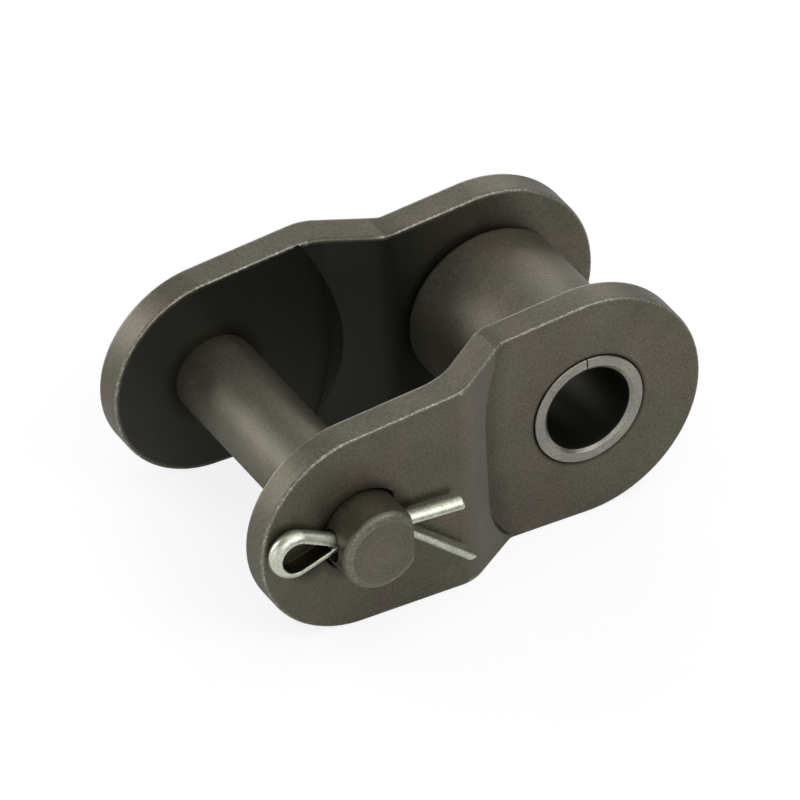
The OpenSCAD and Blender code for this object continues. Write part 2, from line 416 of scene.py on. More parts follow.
def soften_hole(plate, x, radius, y):
    """Bevels the mouth of a hole in the face at height y."""
    def on_mouth(v):
        return abs(v.co.y - y) < NEAR_FACE and abs(math.hypot(v.co.x - x, v.co.z) - radius) < NEAR_CIRCLE
    edit(plate)
    count = pick(plate, "EDGE", lambda e: all(on_mouth(v) for v in e.verts))
    round_off(HOLE_CHAMFER, segments=3)
    return count


bush_hole_r = BUSH_R + TIGHT_GAP
cut(rear_plate, round_bar(
    0, 0, bush_hole_r, BUSH_END_INNER_Y - OVERSHOOT, BUSH_END_OUTER_Y + OVERSHOOT, HOLE_SIDES))
print("bush hole mouth edges:", soften_hole(rear_plate, 0, bush_hole_r, BUSH_END_OUTER_Y))

hold(rear_plate)
bpy.ops.object.duplicate(linked=False)
front_plate = bpy.context.object
front_plate.name = "front_plate"
front_plate.scale = (1, -1, 1)
bake_place(front_plate)
close_up(front_plate)

rear_hole_r = PIN_R + TIGHT_GAP
cut(rear_plate, round_bar(
    -PITCH, 0, rear_hole_r, PIN_END_INNER_Y - OVERSHOOT, PIN_END_OUTER_Y + OVERSHOOT, HOLE_SIDES))
print("pin hole mouth edges:", soften_hole(rear_plate, -PITCH, rear_hole_r, PIN_END_OUTER_Y))

# %% [markdown]
# The tool for the keyed hole is a round bar with one side sliced off. The slice leaves the same
# play at the pin's flat as there is round the pin.

# %% Keyed hole
keyed_r = PIN_R + LOOSE_GAP
key_x = -PITCH + PIN_FLAT + LOOSE_GAP
key_tool = round_bar(
    -PITCH, 0, keyed_r, -PIN_END_OUTER_Y - OVERSHOOT, -PIN_END_INNER_Y + OVERSHOOT, HOLE_SIDES)
edit(key_tool)
pick_all("EDGE")
bpy.ops.mesh.bisect(plane_co=(key_x, 0, 0), plane_no=(1, 0, 0), use_fill=True, clear_outer=True)
cut(front_plate, key_tool)
close_up(front_plate)
edit(front_plate)


def on_keyed_mouth(v):
    """A point of the keyed hole's mouth in the outer face, on its round or on its flat."""
    radius = math.hypot(v.co.x + PITCH, v.co.z)
    return abs(v.co.y + PIN_END_OUTER_Y) < NEAR_FACE and (
        abs(radius - keyed_r) < NEAR_CIRCLE or abs(v.co.x - key_x) < SAME_PLACE and radius < keyed_r)


print("keyed mouth edges:", pick(front_plate, "EDGE", lambda e: all(on_keyed_mouth(v) for v in e.verts)))
round_off(HOLE_CHAMFER, segments=3)
for plate in (rear_plate, front_plate):
    close_up(plate)
    report(plate)

# %% [markdown]
# ## Bush
# A bush of this size isn't drilled from bar. A strip is curled round a mandrel until its two ends
# meet, which leaves a butt seam. Its mouths open like a bell, so that the pin finds its way in.
# A tube from two cylinders would have no seam. So one cross section of the strip is softened at
# its corners, the corners at the bore are drawn out into the bell, and the section is spun almost
# all the way round. The narrow gap that is left is the seam.

# %% Curling the bush
PIN_PLAY = 0.015
BUSH_BORE_R = PIN_R + PIN_PLAY
BUSH_LEAD_IN = 0.3
BUSH_MOUTH_WIDER = 0.14
BUSH_MOUTH_DEPTH = 0.12
BUSH_BELL_DEPTH = 1.2
BUSH_OUTER_SOFT = 0.07
SEAM_GAP = 0.07
RING_STEPS = 192


def ring_section(inner_r, outer_r, length, inner_corner, outer_corner):
    """A wall section in the plane x = 0, above the axis. A corner has a size and segments."""
    let_go()
    bpy.ops.mesh.primitive_plane_add(size=1, rotation=(0, math.pi / 2, 0))
    wall = bpy.context.object
    wall.scale = (outer_r - inner_r, length, 1)
    wall.location = (0, 0, (inner_r + outer_r) / 2)
    bake_place(wall)
    for radius, (size, segments) in ((outer_r, outer_corner), (inner_r, inner_corner)):
        edit(wall)
        pick(wall, "VERT", lambda v: abs(v.co.z - radius) < SAME_PLACE)
        round_off(size, segments, "VERTICES")
    return wall


bush_piece = ring_section(BUSH_BORE_R, BUSH_R, BUSH_LENGTH, (BUSH_LEAD_IN, 2), (BUSH_OUTER_SOFT, 3))
bush_piece.name = "curled_bush"
half_length = BUSH_LENGTH / 2
bevel_middle = BUSH_LEAD_IN * (1 - math.sqrt(0.5))


def set_depth(points_z, old_depth, new_depth):
    """Moves the section's points at one height to another depth from both ends of the bush."""
    moved = pick(bush_piece, "VERT", lambda v: abs(v.co.z - points_z) < SAME_PLACE)
    stretch = (half_length - new_depth) / (half_length - old_depth)
    bpy.ops.transform.resize(value=(1, stretch, 1), center_override=(0, 0, BUSH_BORE_R))
    return moved


edit(bush_piece)
mouth_points = set_depth(BUSH_BORE_R + bevel_middle, bevel_middle, BUSH_MOUTH_DEPTH)
bpy.ops.transform.translate(value=(0, 0, BUSH_MOUTH_WIDER - bevel_middle))
bell_points = set_depth(BUSH_BORE_R, BUSH_LEAD_IN, BUSH_BELL_DEPTH)
print("points moved at the mouth and the bell:", mouth_points, bell_points)

# %% Spinning the bush
seam_angle = SEAM_GAP / BUSH_R
pick_all("VERT")
turn_round((0, 0, 0), 2 * math.pi - seam_angle, RING_STEPS, axis=(0, 1, 0))
leave_edit()
bush_piece.rotation_euler = (0, seam_angle / 2, 0)
bake_place(bush_piece)
close_up(bush_piece)
report(bush_piece)

# %% [markdown]
# ## Roller
# The roller is a turned ring that spins on the bush. Its section has well rounded outer corners,
# because it rolls into the teeth of a sprocket. It is spun all the way round and sewn up.

# %% Turning the roller
ROLLER_PLAY = 0.05
ROLLER_EDGE_R = 0.3
ROLLER_BORE_SOFT = 0.08

roller_piece = ring_section(
    BUSH_R + ROLLER_PLAY, ROLLER_R, ROLLER_LENGTH, (ROLLER_BORE_SOFT, 3), (ROLLER_EDGE_R, 5))
roller_piece.name = "turned_roller"
edit(roller_piece)
pick_all("VERT")
bpy.ops.mesh.delete(type="ONLY_FACE")
pick_all("VERT")
turn_round((0, 0, 0), 2 * math.pi, RING_STEPS, axis=(0, 1, 0))
leave_edit()
close_up(roller_piece)
report(roller_piece)

# %% [markdown]
# ## Pin
# The pin is turned from bar, chamfered at both ends, and then milled flat on one side of its
# front end, so that it can't turn in the keyed hole. A cross hole takes the split pin.
# It starts as a cylinder whose end faces are extruded and shrunk. The flat and the cross hole
# are boolean cuts, and the sharp borders are eased with a small bevel, as a file would. A few
# points of the bevel come out proud of the front face and are pressed back into it.

# %% Turning the pin
PIN_CHAMFER = 0.4
PIN_CHAMFER_DEPTH = 0.2
PIN_EASE = 0.17
FLAT_EASE = 0.05
SEAT_GAP = 0.02
CROSS_HOLE_D = 1.5
PIN_SIDES = 160
front_y = pin_low.y + PIN_CHAMFER_DEPTH
rear_y = pin_high.y - PIN_CHAMFER_DEPTH
shrink = (PIN_R - PIN_CHAMFER) / PIN_R

pin_piece = round_bar(-PITCH, 0, PIN_R, front_y, rear_y, PIN_SIDES)
pin_piece.name = "turned_pin"
for end_y, way in ((front_y, -1), (rear_y, 1)):
    tip_y = end_y + way * PIN_CHAMFER_DEPTH
    edit(pin_piece)
    pick(pin_piece, "FACE", lambda f: abs(f.normal.y) > 0.9
         and abs(f.calc_center_median().y - end_y) < SAME_PLACE)
    bpy.ops.mesh.extrude_region_move(TRANSFORM_OT_translate={"value": (0, way * PIN_CHAMFER_DEPTH, 0)})
    bpy.ops.transform.resize(value=(shrink, 1, shrink), center_override=(-PITCH, tip_y, 0))
    pick(pin_piece, "EDGE", lambda e: any(
        all(abs(v.co.y - y) < SAME_PLACE for v in e.verts) for y in (end_y, tip_y)))
    round_off(PIN_EASE, segments=5)

# %% Milling the flat
shoulder_y = -PIN_END_INNER_Y + SEAT_GAP
flat_cut_length = shoulder_y - pin_low.y + OVERSHOOT
let_go()
bpy.ops.mesh.primitive_cube_add(size=1)
flat_tool = bpy.context.object
flat_tool.scale = (PIN_R, flat_cut_length, 3 * PIN_R)
flat_tool.location = (-PITCH + PIN_FLAT + PIN_R / 2, shoulder_y - flat_cut_length / 2, 0)
cut(pin_piece, bake_place(flat_tool))
flat_x = -PITCH + PIN_FLAT
edit(pin_piece)
pick(pin_piece, "EDGE", lambda e: all(abs(v.co.x - flat_x) < 0.0005 for v in e.verts)
     and any(abs(f.normal.x) < 0.99 for f in e.link_faces))
round_off(FLAT_EASE, segments=3)
edit(pin_piece)
proud = pick(pin_piece, "VERT", lambda v: v.co.y < pin_low.y)
bpy.ops.transform.resize(value=(1, 0, 1), center_override=(-PITCH, pin_low.y, 0))
leave_edit()
print("points pressed back into the front face:", proud)
report(pin_piece)

# %% [markdown]
# ## Split pin
# Half-round wire is folded back on itself round an eye, so that the flat sides of the two legs
# meet. The wire is walked as a bending machine does it: a half disc is extruded along each
# straight run and spun about each bend's centre, from the tip of the straight leg to the tip of
# the opened one. A curve with a bevel could give the path, but its section would be round.

# %% Bends of the split pin
WIRE_R = 0.46
EYE_R = 0.74
EYE_REACH = 1.78
NECK_BEND_R = 0.9
NECK_DEPTH = 0.25
STRAIGHT_LEG = 3.15
BENT_LEG = 4.3
LEG_BEND_IN = 0.15
LEG_BEND_R = 1
LEG_SPLAY = math.radians(36.5)
LEG_GAP = 0.05
LEAN_DOWN = math.radians(5.3)
LEAN_OUT = math.radians(1)
CROSS_HOLE_UP = 0.25
WIRE_SIDES = 28
WIRE_CORNER = 0.13
TURN_STEP = math.radians(5)

neck_u = PIN_R - NECK_DEPTH
eye_u = PIN_R + EYE_REACH
neck_rise = LEG_GAP / 2 + NECK_BEND_R
neck_to_eye = math.hypot(eye_u - neck_u, neck_rise)
slant_length = math.sqrt(neck_to_eye ** 2 - (NECK_BEND_R + EYE_R) ** 2)
slant = math.atan2(NECK_BEND_R + EYE_R, slant_length) - math.atan2(neck_rise, eye_u - neck_u)
leg_bend_u = PIN_FLAT - LEG_BEND_IN
leg_tip_u = PIN_FLAT + STRAIGHT_LEG
eye_tip_y = -PIN_END_OUTER_Y - SEAT_GAP - WIRE_R
cross_hole_y = eye_tip_y - (eye_u + EYE_R + WIRE_R) * math.tan(LEAN_OUT)
print("slant", round(math.degrees(slant), 2), "cross hole at", round(cross_hole_y, 3))

# Each move is a straight run, then a turn to the left and its radius
wire_moves = [
    (leg_tip_u + neck_u, -slant, NECK_BEND_R),
    (slant_length, math.pi + 2 * slant, EYE_R),
    (slant_length, -slant, NECK_BEND_R),
    (neck_u + leg_bend_u, -LEG_SPLAY, LEG_BEND_R),
    (BENT_LEG, 0, 1),
]

# %% Folding the wire
def half_disc(x, y):
    """Half-round section at the start of the walk, its flat side on the walked line."""
    let_go()
    bpy.ops.mesh.primitive_circle_add(
        vertices=WIRE_SIDES, radius=WIRE_R, fill_type="NGON", location=(x, y, 0),
        rotation=(0, math.pi / 2, 0))
    section = bake_place(bpy.context.object)
    edit(section)
    bpy.ops.mesh.select_all(action="SELECT")
    bpy.ops.mesh.bisect(plane_co=(x, y, 0), plane_no=(0, 1, 0), clear_inner=True)
    pick(section, "VERT", lambda v: abs(v.co.y - y) < SAME_PLACE)
    round_off(WIRE_CORNER, 4, "VERTICES")
    return section


def walk_wire(wire, place, moves):
    """Extrudes and spins the section along the moves. The heading starts towards -X."""
    heading = math.pi
    edit(wire)
    pick_all("FACE")
    for run, turn, radius in moves:
        ahead = Vector((math.cos(heading), math.sin(heading), 0))
        bpy.ops.mesh.extrude_region_move(TRANSFORM_OT_translate={"value": run * ahead})
        place = place + run * ahead
        if turn:
            side = math.copysign(1, turn)
            centre = place + radius * side * Vector((-ahead.y, ahead.x, 0))
            turn_round(centre, turn, math.ceil(abs(turn) / TURN_STEP))
            place = centre + Matrix.Rotation(turn, 3, "Z") @ (place - centre)
            heading += turn
    leave_edit()
    return place


walk_start = Vector((leg_tip_u, LEG_GAP / 2, 0))
split_piece = half_disc(walk_start.x, walk_start.y)
split_piece.name = "folded_split_pin"
walk_end = walk_wire(split_piece, walk_start, wire_moves)
print("wire ends at", [round(v, 3) for v in walk_end])

# %% [markdown]
# The legs are clipped from the coil with cutters, which leaves their tips a little rounded. The
# finished pin is then stood upright, leaned as it lies in the hole, and moved to the cross hole.

# %% Easing the tips and placing the split pin
LEG_TIP_EASE = 0.14

close_up(split_piece)
edit(split_piece)
tips = pick(split_piece, "FACE", lambda f: len(f.verts) > 4 and min(
    (f.calc_center_median() - tip).length for tip in (walk_start, walk_end)) < WIRE_R)
bpy.ops.mesh.region_to_loop()
round_off(LEG_TIP_EASE, segments=4)
print("leg tips eased:", tips)

split_piece.rotation_mode = "QUATERNION"
upright = Matrix.Rotation(math.pi / 2, 3, "X")
lean = Matrix.Rotation(-LEAN_OUT, 3, "Z") @ Matrix.Rotation(LEAN_DOWN, 3, "Y")
split_piece.rotation_quaternion = (lean @ upright).to_quaternion()
split_piece.location = (-PITCH, cross_hole_y, CROSS_HOLE_UP)
bake_place(split_piece)
report(split_piece)

# %% Cross hole in the pin
CROSS_HOLE_SIDES = 64
let_go()
bpy.ops.mesh.primitive_cylinder_add(
    vertices=CROSS_HOLE_SIDES, radius=CROSS_HOLE_D / 2, depth=3 * PIN_R,
    location=(-PITCH, cross_hole_y, CROSS_HOLE_UP), rotation=(0, math.pi / 2, 0))
cut(pin_piece, bake_place(bpy.context.object))
close_up(pin_piece)
report(pin_piece)

# %% [markdown]
# ## Wear, painted shade, painted sheen and smooth shading
# The tumbled rims rub bare first. Each face of a plate gets a number from 0 to 1 that says how
# worn it is, and the finish brightens it by that number. It could be painted by hand, but it is
# worked out here from the way the face looks: halfway between the plate's face and its side it
# lies on the rounded rim. The hollow side of the crank is out of reach of the tumbling stones,
# so the rim there stays dark.
# More numbers mark where light and shade are painted: shade on the faces that look inwards and on
# the flat faces inside the split pin's eye, and a sheen on the outer side of the crank, by how far
# each face turns with the ramp.

# %% The way the stock runs
middle_bend_x = bend_at_pin + bend_shift / 2
middle_line = [
    Vector((-2 * PITCH, PIN_END_OUTER_Y - PLATE_T / 2, 0)),
    Vector((middle_bend_x, PIN_END_OUTER_Y - PLATE_T / 2, 0)),
    Vector((middle_bend_x + crank_length, BUSH_END_OUTER_Y - PLATE_T / 2, 0)),
    Vector((2 * PITCH, BUSH_END_OUTER_Y - PLATE_T / 2, 0)),
]


def nearest_on_middle(x, y):
    """The point of the stock's middle line that is nearest to a point of either plate."""
    point = Vector((x, abs(y), 0))
    spots = []
    for one, other in zip(middle_line, middle_line[1:]):
        share = (point - one).dot(other - one) / (other - one).length_squared
        spots.append(one + max(0, min(1, share)) * (other - one))
    return min(spots, key=lambda spot: (point - spot).length)


def inner_ramp(x, y):
    """True on the inner half of the stock between the two bends."""
    middle = nearest_on_middle(x, y)
    return bend_at_pin < middle.x < bend_at_bush and abs(y) < middle.y


def stock_normal(x, y):
    """The way the stock's faces look at a point of either plate, folded to the +Y side."""
    on_ramp = middle_bend_x < nearest_on_middle(x, y).x < middle_bend_x + crank_length
    return Vector((math.sin(CRANK_ANGLE), math.cos(CRANK_ANGLE), 0)) if on_ramp else Vector((0, 1, 0))


# %% How worn each face is, and where shade and sheen are painted
SHELTERED_WEAR = 0.1
WEAR_FROM = 0.05
WEAR_RISE = 0.2
WEAR_FALL = 0.05
INWARD_LIMIT = 0.2
OUTWARD_LIMIT = 0.75
# Strength of the painted sheen on the outer side of the crank.
CRANK_SHEEN = 0.25


def mark(piece, name, number_of, domain="FACE"):
    """Stores a number on each face or point of a piece, and counts those that have one."""
    numbers = piece.data.attributes.new(name, "FLOAT", domain)
    elements = piece.data.polygons if domain == "FACE" else piece.data.vertices
    for number, element in zip(numbers.data, elements):
        number.value = number_of(element)
    return sum(number.value > 0 for number in numbers.data)


def rim_wear(face):
    """High on the rounded rim of a plate, none elsewhere."""
    x, y, z = face.center
    normal = Vector((face.normal.x, math.copysign(1, y) * face.normal.y, 0))
    slope = abs(normal.dot(stock_normal(x, y)))
    amount = min(1, (slope - WEAR_FROM) / WEAR_RISE, (1 - slope) / WEAR_FALL)
    if amount < 0 or outline_depth(x, z) > RIM_ROUND:
        return 0
    return SHELTERED_WEAR * amount if inner_ramp(x, y) else amount


def looks_inward(face):
    """1 on the faces of a plate that look towards the other plate, where shade is painted."""
    inward = -face.normal.y * math.copysign(1, face.center.y) > INWARD_LIMIT
    return inward and outline_depth(face.center.x, face.center.z) > RIM_ROUND


def crank_sheen(face):
    """A painted sheen on the outer faces of a plate, by how far they turn with the ramp."""
    outward = face.normal.y * math.copysign(1, face.center.y) > OUTWARD_LIMIT
    on_crank = bend_at_pin < face.center.x < bend_at_bush + 2 * bend_shift
    turned = max(0, min(1, face.normal.x / math.sin(CRANK_ANGLE)))
    return CRANK_SHEEN * turned if outward and on_crank else 0


for plate in (rear_plate, front_plate):
    print(plate.name, "worn, inward and rubbed faces:", mark(plate, "worn", rim_wear),
          mark(plate, "inside", looks_inward), mark(plate, "crank", crank_sheen))

# %% Wear and a painted highlight on the pin's ends, and painted shade in the eye
PIN_EDGE_WEAR_AND_HIGHLIGHT = 0.4
EYE_FACING = 0.4

eye_end_x = -PITCH - PIN_R
eye_points = [v.co for v in split_piece.data.vertices if v.co.x < eye_end_x]
eye_middle = sum(eye_points, Vector()) / len(eye_points)


def end_wear_and_highlight(vertex):
    """The wear of the pin's rounded end edges, set high enough to paint a highlight on them too."""
    x, y, z = vertex.co
    from_end = min(y - pin_low.y, pin_high.y - y)
    from_side = PIN_R - math.hypot(x + PITCH, z)
    return PIN_EDGE_WEAR_AND_HIGHLIGHT if from_end < PIN_CHAMFER_DEPTH and from_side < PIN_CHAMFER else 0


def eye_shade(face):
    """1 on the flat faces inside the split pin's eye, where shade is painted."""
    inward = face.normal.dot((eye_middle - face.center).normalized()) > EYE_FACING
    return inward and face.center.x < eye_end_x


print("worn points of the pin:", mark(pin_piece, "worn", end_wear_and_highlight, "POINT"))
print("faces inside the eye:", mark(split_piece, "inside", eye_shade))

# %% [markdown]
# Every face would show as a facet without smooth shading, and smooth shading all over would blur
# the flats. So only edges under a set angle are smoothed, and the large flat faces decide which
# way the normals look. Then each piece goes from millimetres to metres.

# %% Smooth shading
SMOOTH_ANGLE = math.radians(34)


def shade(piece):
    """Smooth shading with normals that keep flat faces flat."""
    hold(piece)
    bpy.ops.object.shade_smooth_by_angle(angle=SMOOTH_ANGLE, keep_sharp_edges=False)
    bpy.ops.object.modifier_add(type="WEIGHTED_NORMAL")
    steady = piece.modifiers[-1]
    steady.mode = "FACE_AREA_WITH_ANGLE"
    steady.keep_sharp = True
    bpy.ops.object.modifier_apply(modifier=steady.name)


made = {
    "front_side_plate": front_plate,
    "rear_side_plate": rear_plate,
    "bush": bush_piece,
    "roller": roller_piece,
    "link_pin": pin_piece,
    "split_pin": split_piece,
}
for piece in made.values():
    shade(piece)
    piece.scale = (1 / MM_PER_M,) * 3
    bake_place(piece)
print("pieces smoothed and in metres:", len(made))

# %% [markdown]
# ## Finishes
# All six pieces are steel with a thin skin from heat treatment or plating. What they share is a
# cloudy tint, a fine grain and a rubbed edge, so these are one node group that each material
# places with its own colours. The shader itself stays in each material.

# %% Small helpers for node trees
def add(tree, kind, place, **settings):
    """Adds a node, sets its plain settings and its named input values."""
    made_node = tree.nodes.new(kind)
    made_node.location = place
    for name, value in settings.items():
        if hasattr(made_node, name):
            setattr(made_node, name, value)
        else:
            made_node.inputs[name.replace("_", " ")].default_value = value
    return made_node


def wire(tree, *pairs):
    """Joins outputs to inputs, each pair written as (node, name, node, name)."""
    for source, out_name, target, in_name in pairs:
        tree.links.new(source.outputs[out_name], target.inputs[in_name])


def new_group(name, inputs, outputs):
    """A node group with named sockets, and its two end nodes."""
    tree = bpy.data.node_groups.new(name, "ShaderNodeTree")
    for direction, sockets in (("INPUT", inputs), ("OUTPUT", outputs)):
        for socket_name, socket_type in sockets:
            tree.interface.new_socket(socket_name, in_out=direction, socket_type="NodeSocket" + socket_type)
    return tree, tree.nodes.new("NodeGroupInput"), tree.nodes.new("NodeGroupOutput")


def place_group(tree, group, place):
    """A node that runs a node group inside another tree."""
    node = tree.nodes.new("ShaderNodeGroup")
    node.node_tree = group
    node.location = place
    return node


# %% The steel skin group
def value_range(tree, place, low, high, to_low=0.0, to_high=1.0):
    """A map range from one pair of values to another, clamped at both."""
    node = add(tree, "ShaderNodeMapRange", place)
    for socket, value in (("From Min", low), ("From Max", high), ("To Min", to_low), ("To Max", to_high)):
        node.inputs[socket].default_value = value
    return node


TINT_SHIFT = (0.37, 0.11, 0.73)
RUBBED_BAND = 0.22


def steel_skin_group():
    """Cloudy tint, fine grain and rubbed edges, from a place and a wear value."""
    tree, given, result = new_group(
        "steel_skin",
        [("Place", "Vector"), ("Colour", "Color"), ("Tint", "Color"), ("Rubbed", "Color"),
         ("Wear", "Float"), ("Cloud size", "Float"), ("Grain size", "Float"), ("Roughness", "Float")],
        [("Colour", "Color"), ("Roughness", "Float"), ("Height", "Float")])
    given.location, result.location = (-900, 0), (1100, 0)
    clouds = add(tree, "ShaderNodeTexNoise", (-600, 300), Detail=4, Roughness=0.6)
    shift = add(tree, "ShaderNodeVectorMath", (-760, 0), operation="ADD")
    shift.inputs[1].default_value = TINT_SHIFT
    tints = add(tree, "ShaderNodeTexNoise", (-600, 0), Detail=2, Roughness=0.5)
    grain = add(tree, "ShaderNodeTexNoise", (-600, -300), Detail=3, Roughness=0.7)
    cloud_tone = value_range(tree, (-380, 300), 0.3, 0.7, 0.88, 1.12)
    tint_share = value_range(tree, (-380, 0), 0.4, 0.65)
    grain_tone = value_range(tree, (-380, -300), 0.3, 0.7, 0.72, 1.28)
    tone = add(tree, "ShaderNodeMath", (-160, 200), operation="MULTIPLY")
    tinted = add(tree, "ShaderNodeMix", (-160, 0), data_type="RGBA")
    toned = add(tree, "ShaderNodeVectorMath", (60, 100), operation="SCALE")
    # Rubbed metal: a faint even band, and bright specks where the grain stands up
    band = add(tree, "ShaderNodeMath", (60, -160), operation="MULTIPLY")
    band.inputs[1].default_value = RUBBED_BAND
    peaks = value_range(tree, (-160, -300), 0.45, 0.64, 0, 0.85)
    specks = add(tree, "ShaderNodeMath", (60, -320), operation="MULTIPLY")
    bare = add(tree, "ShaderNodeMath", (240, -220), operation="MAXIMUM")
    rubbed = add(tree, "ShaderNodeMix", (440, 80), data_type="RGBA")
    roughness_tone = value_range(tree, (240, -420), 0.3, 0.7, 0.9, 1.1)
    rough = add(tree, "ShaderNodeMath", (440, -300), operation="MULTIPLY")
    wire(tree,
         (given, "Place", clouds, "Vector"), (given, "Place", shift, 0), (shift, 0, tints, "Vector"),
         (given, "Place", grain, "Vector"), (given, "Cloud size", clouds, "Scale"),
         (given, "Cloud size", tints, "Scale"), (given, "Grain size", grain, "Scale"),
         (clouds, 0, cloud_tone, "Value"), (tints, 0, tint_share, "Value"), (grain, 0, grain_tone, "Value"),
         (cloud_tone, 0, tone, 0), (grain_tone, 0, tone, 1),
         (tint_share, 0, tinted, "Factor"), (given, "Colour", tinted, 6), (given, "Tint", tinted, 7),
         (tinted, 2, toned, 0), (tone, 0, toned, "Scale"),
         (given, "Wear", band, 0), (grain, 0, peaks, "Value"), (peaks, 0, specks, 0),
         (given, "Wear", specks, 1), (band, 0, bare, 0), (specks, 0, bare, 1),
         (bare, 0, rubbed, "Factor"), (toned, 0, rubbed, 6), (given, "Rubbed", rubbed, 7),
         (grain, 0, roughness_tone, "Value"), (given, "Roughness", rough, 0), (roughness_tone, 0, rough, 1),
         (rubbed, 2, result, "Colour"), (rough, 0, result, "Roughness"), (grain, 0, result, "Height"))
    return tree


steel_skin = steel_skin_group()
print("group sockets:", [item.name for item in steel_skin.interface.items_tree])

# %% [markdown]
# Grease and shadow gather where a round piece enters a plate, and turned faces carry rings. Both
# depend only on how far a point is from an axis along Y, so a small group gives that distance.

# %% Distance from an axis
def axis_distance_group():
    """Distance of a place from an axis along Y, given as a point on it, in metres."""
    tree, given, result = new_group(
        "axis_distance", [("Place", "Vector"), ("Axis", "Vector")], [("Distance", "Float")])
    given.location, result.location = (-600, 0), (200, 0)
    offset = add(tree, "ShaderNodeVectorMath", (-400, 0), operation="SUBTRACT")
    across = add(tree, "ShaderNodeVectorMath", (-200, 0), operation="MULTIPLY")
    across.inputs[1].default_value = (1, 0, 1)
    length = add(tree, "ShaderNodeVectorMath", (0, 0), operation="LENGTH")
    wire(tree, (given, "Place", offset, 0), (given, "Axis", offset, 1), (offset, 0, across, 0),
         (across, 0, length, 0), (length, "Value", result, "Distance"))
    return tree


axis_distance = axis_distance_group()
print("nodes in the distance group:", len(axis_distance.nodes))

# %% [markdown]
# Each finish is the skin group with its own colours, cloud size, grain size and gloss, under one
# metal shader. Grime and painted shade are thin layers over it: a plain colour, and a mask that
# says where.

# %% A material from the skin
BUMP_STRENGTH = 0.6


def skin_material(name, colour, tint, rubbed, cloud_mm, grain_mm, roughness, grain_height_mm):
    """Principled metal over the skin group. Sizes are in millimetres."""
    material = bpy.data.materials.new(name)
    material.use_nodes = True
    tree = material.node_tree
    shader = tree.nodes["Principled BSDF"]
    shader.inputs["Metallic"].default_value = 1
    place = add(tree, "ShaderNodeTexCoord", (-900, 0))
    place.name = "place"
    worn = add(tree, "ShaderNodeAttribute", (-900, -300), attribute_name="worn")
    skin = place_group(tree, steel_skin, (-560, 0))
    settings = {
        "Colour": (*colour, 1), "Tint": (*tint, 1), "Rubbed": (*rubbed, 1), "Roughness": roughness,
        "Cloud size": MM_PER_M / cloud_mm, "Grain size": MM_PER_M / grain_mm,
    }
    for socket, value in settings.items():
        skin.inputs[socket].default_value = value
    bump = add(tree, "ShaderNodeBump", (-260, -260))
    bump.inputs["Strength"].default_value = BUMP_STRENGTH
    bump.inputs["Distance"].default_value = grain_height_mm / MM_PER_M
    wire(tree, (place, "Object", skin, "Place"), (worn, "Fac", skin, "Wear"),
         (skin, "Height", bump, "Height"), (skin, "Colour", shader, "Base Color"),
         (skin, "Roughness", shader, "Roughness"), (bump, "Normal", shader, "Normal"))
    return material


# %% Layers over a finish
def colour_over(material, colour, mask, mask_socket=0):
    """Lays a plain colour over what feeds Base Color, where a mask says so."""
    tree = material.node_tree
    shader = tree.nodes["Principled BSDF"]
    under = shader.inputs["Base Color"].links[0].from_socket
    over = add(tree, "ShaderNodeMix", (-120, 300), data_type="RGBA")
    over.inputs[7].default_value = (*colour, 1)
    tree.links.new(mask.outputs[mask_socket], over.inputs["Factor"])
    tree.links.new(under, over.inputs[6])
    tree.links.new(over.outputs[2], shader.inputs["Base Color"])


def distance_node(material, axis_mm, place):
    """The distance group in a material, measured from an axis at the given X and Z."""
    tree = material.node_tree
    distance = place_group(tree, axis_distance, place)
    distance.inputs["Axis"].default_value = (axis_mm[0] / MM_PER_M, 0, axis_mm[1] / MM_PER_M)
    wire(tree, (tree.nodes["place"], "Object", distance, "Place"))
    return distance


def axis_mask(material, axis_mm, full_mm, none_mm, most=1.0, height=500):
    """A mask that is strongest up to one distance from an axis and gone at another."""
    tree = material.node_tree
    distance = distance_node(material, axis_mm, (-560, height))
    fade = value_range(tree, (-340, height), full_mm / MM_PER_M, none_mm / MM_PER_M, most, 0)
    wire(tree, (distance, "Distance", fade, "Value"))
    return fade


def product(tree, place, first, first_socket, second, second_socket=0):
    """Two masks multiplied, so that the result is strong only where both are."""
    node = add(tree, "ShaderNodeMath", place, operation="MULTIPLY")
    wire(tree, (first, first_socket, node, 0), (second, second_socket, node, 1))
    return node


# %% [markdown]
# The plates are the largest pieces, and their finish carries most of the look: a dark satin skin,
# a painted sheen on the outer side of the crank, and painted shade on the inner faces, darkest
# towards the pin end. A dark ring of grime and painted shade lies where the bush and the pin go
# in, a painted shadow lies behind the eye of the split pin, and painted shade runs along the foot
# of the wall that the press tool leaves round the outer flat.

# %% Plate finish
PLATE_COLOUR = (0.169, 0.151, 0.122)
PLATE_TINT = (0.154, 0.149, 0.114)
BARE_STEEL = (0.6, 0.58, 0.51)
INNER_SHADE_COLOUR = (0.087, 0.088, 0.079)
CRANK_SHEEN_COLOUR = (0.3, 0.28, 0.232)
INNER_SHADE_FULL_X = -3.5
INNER_SHADE_GONE_X = 3

plate_steel = skin_material("plate_steel", PLATE_COLOUR, PLATE_TINT, BARE_STEEL, 3.0, 0.13, 0.46, 0.012)
plate_tree = plate_steel.node_tree
# Painted sheen on the outer side of the crank, brighter as each face turns with the ramp.
crank = add(plate_tree, "ShaderNodeAttribute", (-900, 900), attribute_name="crank")
colour_over(plate_steel, CRANK_SHEEN_COLOUR, crank, "Fac")

